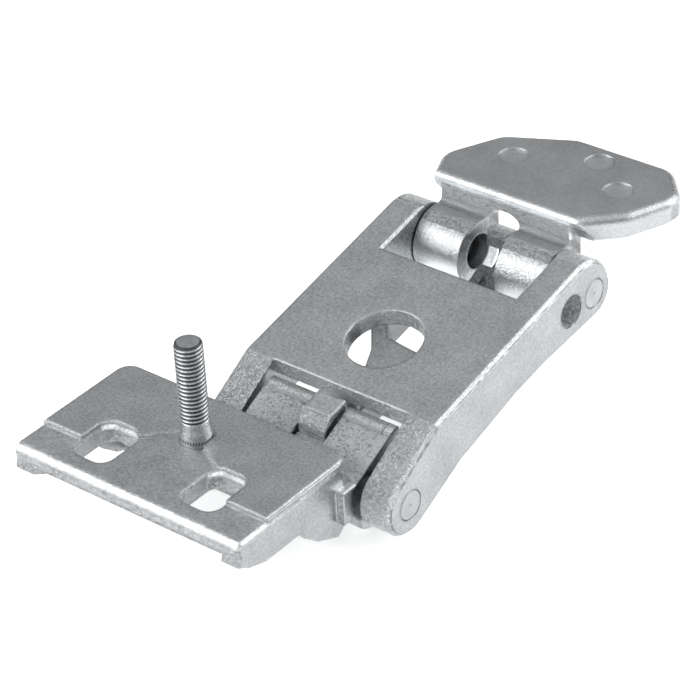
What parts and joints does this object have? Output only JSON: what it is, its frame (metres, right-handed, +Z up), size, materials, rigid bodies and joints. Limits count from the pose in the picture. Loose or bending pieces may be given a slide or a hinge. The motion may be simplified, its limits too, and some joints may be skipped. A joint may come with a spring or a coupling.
{
  "type": "door hinge",
  "caption": "Zinc-plated cast rear door hinge: a leaf with a stud and slots, a link arm on two pivots and a body bracket with tapped holes underneath.",
  "frame": {"origin": "centre of the stud's base on the leaf's mounting face", "axes": "+Z up along the stud, +X along both pivots, +Y from the leaf towards the body bracket"},
  "size_m": [0.1008, 0.1836, 0.0563],
  "materials": {
    "plated_casting": "zinc-plated casting, satin with rough cast zones",
    "plated_stud": "bright zinc plating",
    "pin_steel": "bright turned ends",
    "bush_steel": "dull, oiled"
  },
  "bodies": {
    "leaf": {"door_leaf": "plated_casting", "door_stud": "plated_stud"},
    "arm": {"link_arm": "plated_casting", "lower_pin": "pin_steel", "upper_pin_left": "pin_steel", "upper_pin_right": "pin_steel"},
    "bracket": {"body_bracket": "plated_casting", "bush_left": "bush_steel", "bush_right": "bush_steel"}
  },
  "joints": [
    {"name": "lower_pivot", "type": "hinge", "parent": "leaf", "child": "arm", "pos_m": [0.0205, 0.0233, -0.015], "axis": [1, 0, 0], "range_deg": [-65, 30]},
    {"name": "upper_pivot", "type": "hinge", "parent": "arm", "child": "bracket", "pos_m": [0.0205, 0.10969, 0.00592], "axis": [1, 0, 0], "range_deg": [-100, 70]}
  ]
}
